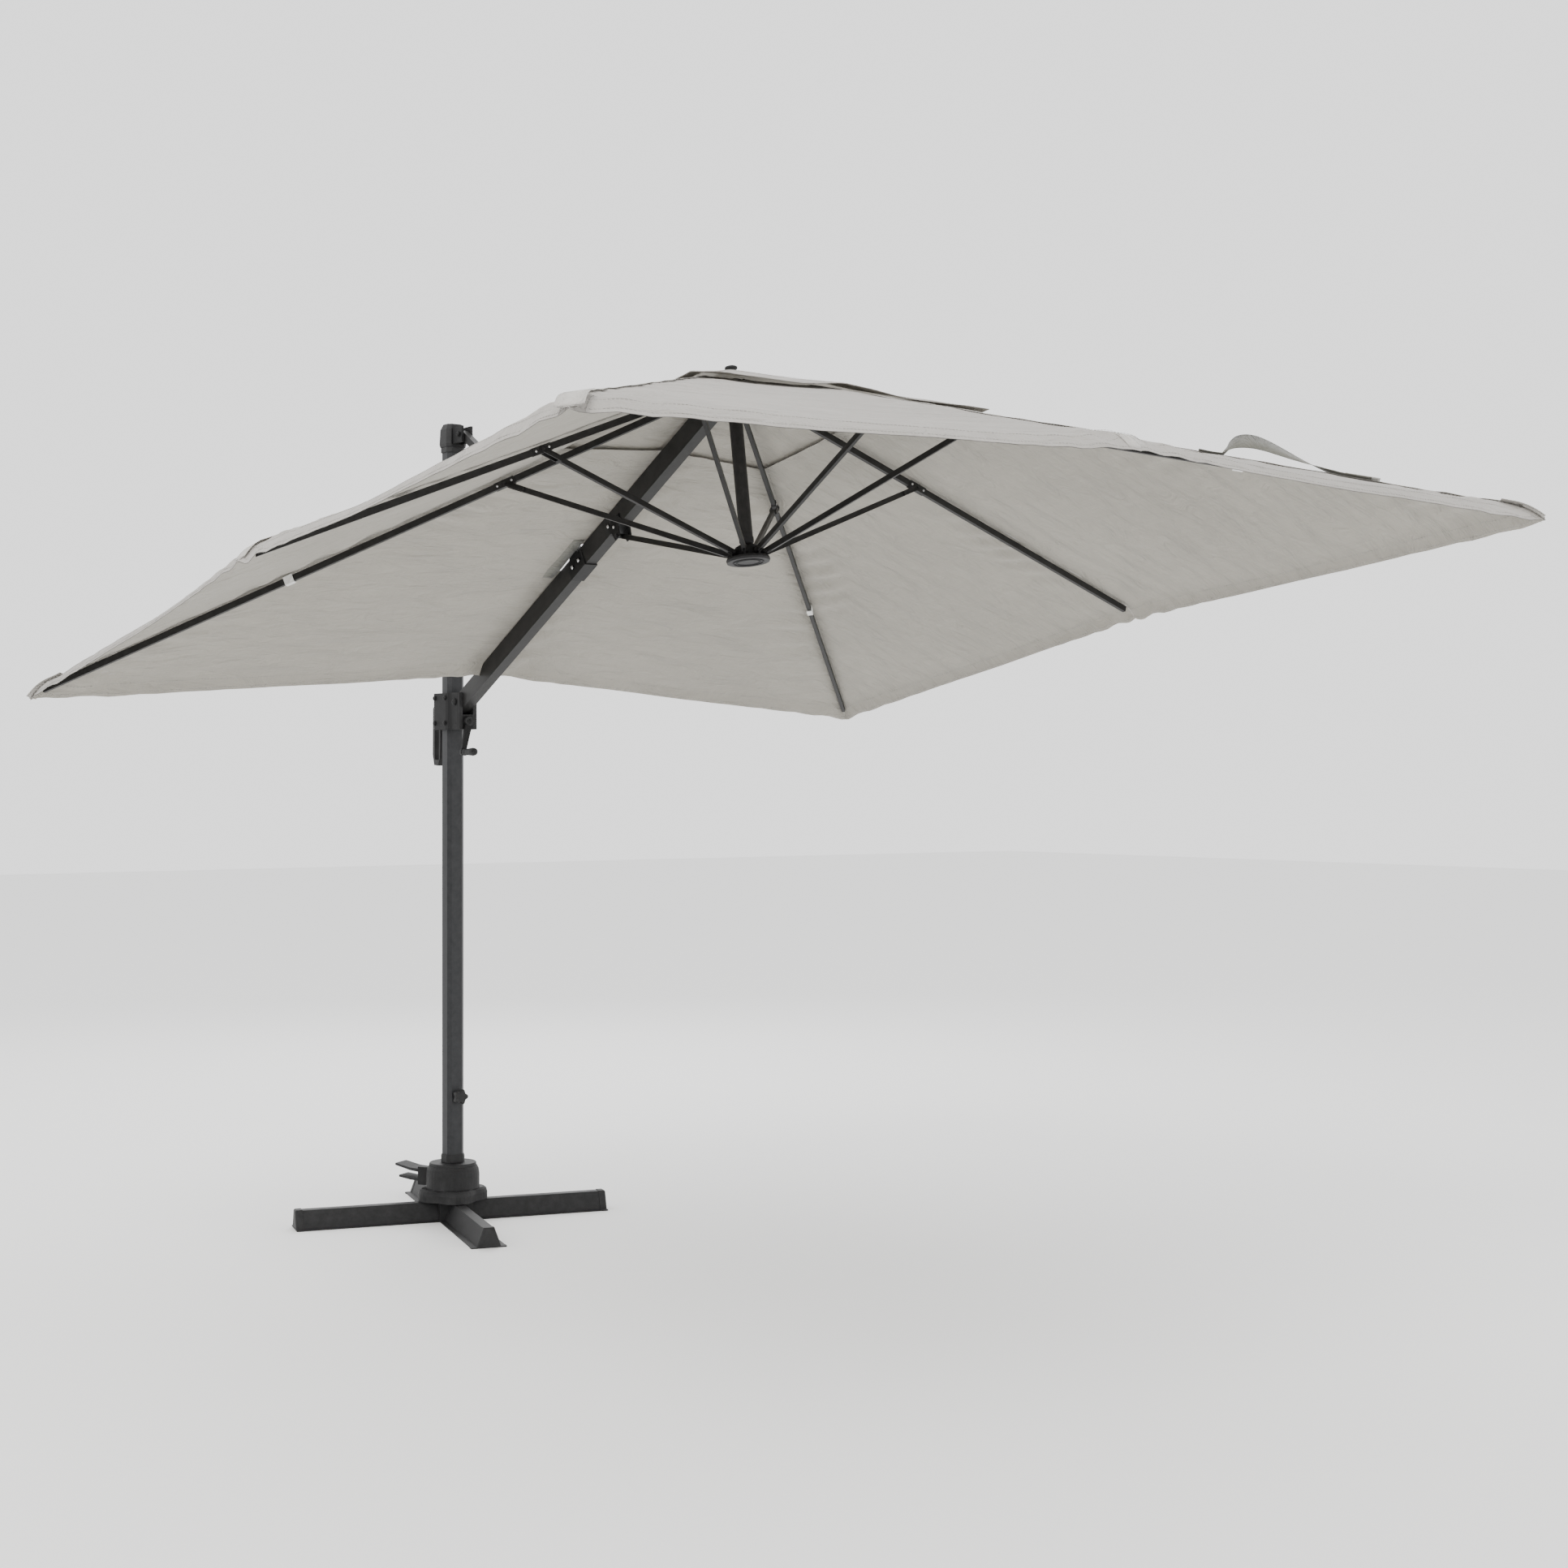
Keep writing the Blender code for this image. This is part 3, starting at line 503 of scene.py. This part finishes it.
for k, nm in enumerate(NAMES):
    az = k * math.pi / 4
    body = "arm" if nm == "arm" else "rib_" + nm
    cc = 17
    hs = sorted(set([round(0.012 + (VC - 0.012) * r / 22, 6) for r in range(23)] + [VC - 0.0265, VC - 0.026]))
    pts = [plan(az, -1 + 2 * c / (cc - 1), h) for h in hs for c in range(cc)]

    def hem2(i, hs=hs, cc=cc):
        return 0.0006 if hs[i // cc] >= VC - 0.0261 else 0.0

    o, area = shell("vent_" + nm, pts, len(hs), cc, lambda i, x, y: T + hem2(i), lambda i, x, y: -hem2(i) * 0.8, [OUT, IN], None, cap_z)
    if nm == "arm":
        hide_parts("vent_cap")
    gather(o, body)
    verts, faces = [], []
    for h in (VC - 0.005, VC - 0.022):
        a0 = plan(az, -1, h)
        a1 = plan(az, 1, h)
        mid = plan(az, 0, h)
        for p, q in ((a0, mid), (mid, a1)):
            d = math.dist(p, q)
            m = max(2, int(d / 0.010))
            cap_stitch(verts, faces, [(p[0] + (q[0] - p[0]) * i / m, p[1] + (q[1] - p[1]) * i / m) for i in range(m + 1)])
    rm = (VC - 0.028) / max(abs(math.cos(az)), abs(math.sin(az)))
    for t in (-0.0065, 0.0065):
        m = int((rm - 0.04) / 0.010)
        cap_stitch(verts, faces, [(math.cos(az) * (0.04 + 0.010 * i) - math.sin(az) * t, math.sin(az) * (0.04 + 0.010 * i) + math.cos(az) * t) for i in range(m)])
    vs = link("vent_sewing_" + nm, verts, faces, [THREAD], smooth=False)
    gather(vs, body)


# ---------------------------------------------------------------- strap, bands, rivets
def tube_mesh(profile, m, seg=24):
    verts, faces = [], []
    for r, z in profile:
        for i in range(seg):
            a = 2 * math.pi * i / seg
            verts.append(m @ Vector((r * math.cos(a), r * math.sin(a), z)))
    for k in range(len(profile) - 1):
        for i in range(seg):
            j = (i + 1) % seg
            faces.append((k * seg + i, k * seg + j, (k + 1) * seg + j, (k + 1) * seg + i))
    faces.append(tuple(range(seg - 1, -1, -1)))
    faces.append(tuple(range((len(profile) - 1) * seg, len(profile) * seg)))
    return verts, faces


def rivets(name, body, spots, mat=STEEL, scale=1.0):
    """Domed rivet or button heads: (centre on the surface, outward direction, radius)."""
    verts, faces = [], []
    for c, d, r in spots:
        q = Vector(d).normalized().to_track_quat("Z", "Y").to_matrix().to_4x4()
        prof = [(r, -0.0004), (r, r * 0.16)] + [(r * 0.97 * math.cos(a), r * 0.16 + r * 0.42 * math.sin(a)) for a in (0.25, 0.6, 0.95, 1.3)]
        prof += [(r * 0.22, r * 0.56), (r * 0.18, r * 0.42)]
        v, f = tube_mesh(prof, Matrix.Translation(Vector(c)) @ q, 18)
        b = len(verts)
        verts += v
        faces += [tuple(i + b for i in g) for g in f]
    o = link(name, verts, faces, [mat])
    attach(o, body)
    return o


A = Vector((0.08, 0, 1.733))
H0 = CANOPY @ Vector((-0.05, 0, -0.042))
U = (H0 - A).normalized()
W = Vector((-U.z, 0, U.x))


def on_arm(s, y, h):
    return A + U * s + W * h + Vector((0, y, 0))


l1 = Vector((0.797, 0, 2.179)) - A
ls, lh = l1.dot(U), l1.dot(W)
lo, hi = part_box("strut_bracket")
sc = (Vector(((lo[0] + hi[0]) / 2, 0, (lo[2] + hi[2]) / 2)) - A).dot(U)
spots = []
for s in (-1, 1):
    Y = Vector((0, s, 0))
    spots += [(on_arm(ls - 0.018, s * 0.0255, -0.004), Y, 0.0062), (on_arm(ls + 0.022, s * 0.0255, -0.004), Y, 0.0062)]
    spots.append((on_arm(ls, s * 0.0270, lh), Y, 0.0085))
rivets("link_rivets", "arm", spots)
spots = []
for s in (-1, 1):
    for dx, h, r in ((-0.022, -0.008, 0.0055), (0.022, -0.008, 0.0055), (0.0, -0.024, 0.0050)):
        spots.append((on_arm(sc + dx, s * (0.0255 if r > 0.0052 else 0.0227), h), (0, s, 0), r))
rivets("strut_bracket_rivets", "arm", spots)
spots = []
for s in (-1, 1):
    for x, z in ((-0.040, 1.748), (0.030, 1.748), (-0.040, 1.664), (0.030, 1.664)):
        spots.append(((x, s * 0.0490, z), (0, s, 0), 0.0066))
    spots.append(((0.08, s * 0.0400, 1.733), (0, s, 0), 0.0100))
    spots.append(((0.085, s * 0.0345, 1.662), (0, s, 0), 0.0052))
rivets("slider_bolts", "slider", spots, PLAS)
rivets("mast_cap_bolts", "mast", [((0.08, s * 0.0255, 2.625), (0, s, 0), 0.0078) for s in (-1, 1)], PLAS)
rivets("crank_screw", "crank", [((0.1181, 0, 1.668), (1, 0, 0), 0.0085)], PLAS)
v, f = tube_mesh([(0.0165, 0.0225), (0.0180, 0.0240), (0.0180, 0.0275), (0.0168, 0.0292), (0.0120, 0.0312), (0.0060, 0.0322), (0.0030, 0.0324)], CANOPY, 40)
knob = link("finial_button", v, f, [PLAS])
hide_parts("finial")
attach(knob, "post")
v, f = [], []
for r0, z0, r1, z1 in ((0.0430, -0.5303, 0.0405, -0.5318), (0.0330, -0.5303, 0.0310, -0.5312)):
    prof = [(r0 + 0.0012, z0), (r0, z1), (r1, z1), (r1 - 0.0012, z0)]
    b = len(v)
    seg = 56
    for r, z in prof:
        for i in range(seg):
            a = 2 * math.pi * i / seg
            v.append(CANOPY @ Vector((r * math.cos(a), r * math.sin(a), z)))
    for k in range(4):
        for i in range(seg):
            j = (i + 1) % seg
            k2 = (k + 1) % 4
            f.append((b + k * seg + i, b + k * seg + j, b + k2 * seg + j, b + k2 * seg + i))
hubring = link("lower_hub_rings", v, f, [GRIP])
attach(hubring, "lower_hub")
cover = []
for i in range(4):
    a = math.radians(73.9 + 90 * i)
    cover.append(((0.101 * math.cos(a), 0.101 * math.sin(a), 0.1010), (0.25 * math.cos(a), 0.25 * math.sin(a), 1), 0.0065))
rivets("cover_screws", "base", cover)

mid_a = math.atan((0.594 - 0.030) / 1.405)
cor_a = math.atan((0.653 - 0.030) / 2.03)
for k, nm in enumerate(NAMES):
    if nm == "arm":
        continue
    az = k * math.pi / 4
    corner = k % 2 == 1
    sl, pd = (cor_a, 0.650) if corner else (mid_a, (0.640 - 0.05) / math.cos(mid_a))
    tw = Vector((-math.sin(az), math.cos(az), 0))
    def rp(d, t, h, sl=sl, az=az, tw=tw):
        r = 0.05 + d * math.cos(sl) + h * math.sin(sl)
        z = -0.030 - d * math.sin(sl) + h * math.cos(sl)
        return CANOPY @ (Vector((r * math.cos(az), r * math.sin(az), z)) + tw * t)
    td = CANOPY.to_3x3() @ tw
    sp = []
    for s in (-1, 1):
        sp += [(rp(pd + dx, s * 0.0079, 0.0), td * s, 0.0034) for dx in (-0.022, 0.022)]
    rivets("rib_rivets_" + nm, "rib_" + nm, sp)
    # length along the rib to its tip
    tip = (2.03 / math.cos(cor_a)) if corner else 1.405 / math.cos(mid_a)
    if nm in ("nxny", "nxpy", "pxpy", "pxny"):
        # white webbing loop that keeps the cloth to the rib
        vv, ff = [], []
        ring = [(-0.0090, -0.0125), (0.0090, -0.0125), (0.0090, 0.0118), (-0.0090, 0.0118)]
        inner = [(-0.0066, -0.0098), (0.0066, -0.0098), (0.0066, 0.0100), (-0.0066, 0.0100)]
        rad = {"nxny": 1.33, "nxpy": 1.33, "pxpy": 1.36, "pxny": 1.30}[nm]
        for d in (rad - 0.014, rad + 0.014):
            for t, h in ring + inner:
                vv.append(rp(d, t, h))
        for a2 in range(4):
            b2 = (a2 + 1) % 4
            ff += [(a2, b2, b2 + 8, a2 + 8), (a2 + 4, a2 + 12, b2 + 12, b2 + 4), (a2, a2 + 4, b2 + 4, b2), (a2 + 8, b2 + 8, b2 + 12, a2 + 12)]
        o = link("rib_loop_" + nm, vv, ff, [WHITE], smooth=False)
        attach(o, "rib_" + nm)

# tie strap: sewn over the far corner rib, standing up in a loop, with a white touch-and-close end
az = math.pi / 4


def st(r, lift):
    x, y = r * math.cos(az), r * math.sin(az)
    return (x, y, cloth_z(x, y) + lift)


def loop_lift(u):
    """Steep rise at the inner end, long slope to the outer one."""
    return 0.0045 + 0.050 * math.sin(math.pi * u ** 0.50) ** 1.3


def twisted(name, rs, lifts, half, t, mat, lean):
    """A webbing strap along the rib line; lean turns its face out of the cloth's plane where it stands up."""
    verts, faces = [], []
    n = len(rs)
    for i, (r, l) in enumerate(zip(rs, lifts)):
        f = lean * max(0.0, min(1.0, (l - 0.006) / 0.05))
        for s, h in ((-1, 0), (1, 0), (1, 1), (-1, 1)):
            tx, ty = math.sin(az), -math.cos(az)
            w = half * s * math.cos(f)
            x = r * math.cos(az) + tx * w
            y = r * math.sin(az) + ty * w
            z = cloth_z(r * math.cos(az), r * math.sin(az)) + l - s * half * math.sin(f) + t * h
            z = max(z, cloth_z(x, y) + T + 0.0012 + t * h)
            verts.append(CANOPY @ Vector((x, y, z)))
    for i in range(n - 1):
        b = i * 4
        for k in range(4):
            faces.append((b + k, b + (k + 1) % 4, b + 4 + (k + 1) % 4, b + 4 + k))
    faces += [(3, 2, 1, 0), tuple((n - 1) * 4 + k for k in range(4))]
    return link(name, verts, faces, [mat], smooth=True)


rs = [1.25 + 0.012 * i for i in range(6)] + [1.32 + 0.29 * i / 40 for i in range(1, 41)] + [1.62 + 0.01 * i for i in range(8)]
lf = [0.0035] * 6 + [loop_lift(i / 40) for i in range(1, 41)] + [0.0045] * 8
s1 = twisted("a", rs, lf, 0.024, 0.0015, STRAP, 1.15)
s2 = twisted("b", [1.625 + 0.008 * i for i in range(12)], [0.0068] * 12, 0.023, 0.0018, WHITE, 0.0)
strap = merge("tie_strap", [s1, s2])
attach(strap, "rib_pxpy")

# ---------------------------------------------------------------- mast and base details
verts, faces = [], []


def ring_band(z0, z1, hx, hy, c, out):
    poly = [(hx, -hy + c), (hx, hy - c), (hx - c, hy), (-hx + c, hy), (-hx, hy - c), (-hx, -hy + c), (-hx + c, -hy), (hx - c, -hy)]
    b = len(verts)
    for z, g in ((z0, 0.0002), (z0, out), (z1, out), (z1, 0.0002)):
        for x, y in poly:
            l = math.hypot(x, y)
            verts.append(Vector((x * (1 + g / l), y * (1 + g / l), z)))
    for r in range(3):
        for i in range(8):
            j = (i + 1) % 8
            faces.append((b + r * 8 + i, b + r * 8 + j, b + (r + 1) * 8 + j, b + (r + 1) * 8 + i))
    for i in range(8):
        j = (i + 1) % 8
        faces.append((b + 24 + i, b + 24 + j, b + j, b + i))


ring_band(0.1906, 0.214, 0.029, 0.031, 0.012, 0.0038)
ring_band(0.214, 0.2185, 0.029, 0.031, 0.012, 0.0024)
ring_band(2.572, 2.5895, 0.029, 0.031, 0.012, 0.0040)
collar = link("mast_collars", verts, faces, [PLAS], smooth=False)
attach(collar, "mast")

# ---------------------------------------------------------------- stage, light, camera
fm_, nt, b = new_mat("pale_floor")
b.inputs["Base Color"].default_value = (0.86, 0.86, 0.855, 1)
b.inputs["Roughness"].default_value = 0.9
floor = link("studio_floor", [(-30, -30, 0), (30, -30, 0), (30, 30, 0), (-30, 30, 0)], [(0, 1, 2, 3)], [fm_], smooth=False)

w = bpy.data.worlds.new("studio")
bpy.context.scene.world = w
w.use_nodes = True
bg = w.node_tree.nodes["Background"]
bg.inputs[0].default_value = (1.0, 1.0, 1.0, 1)
bg.inputs[1].default_value = 1.75


def area_light(name, loc, target, size_, power, color=(1, 1, 1)):
    l = bpy.data.lights.new(name, "AREA")
    l.shape, l.size, l.energy, l.color = "DISK", size_, power, color
    o = bpy.data.objects.new(name, l)
    bpy.context.scene.collection.objects.link(o)
    o.location = loc
    o.rotation_euler = (Vector(target) - Vector(loc)).to_track_quat("-Z", "Y").to_euler()


area_light("key", (5.0, -5.0, 7.5), (1.2, 0, 1.5), 4.0, 420, (1.0, 0.98, 0.95))
area_light("rim", (-4.5, 3.0, 5.0), (1.0, 0, 1.8), 3.0, 200)
area_light("fill", (6.0, 4.0, 1.5), (1.0, 0, 1.2), 4.0, 90)

cam = bpy.data.cameras.new("photo_camera")
cam.lens, cam.sensor_width = 52.14, 36.0
co = bpy.data.objects.new("photo_camera", cam)
bpy.context.scene.collection.objects.link(co)
co.location = (6.7792, -3.6885, 1.4599)
co.rotation_euler = (math.pi / 2, 0, math.atan2(0.800, 0.5995))
bpy.context.scene.camera = co
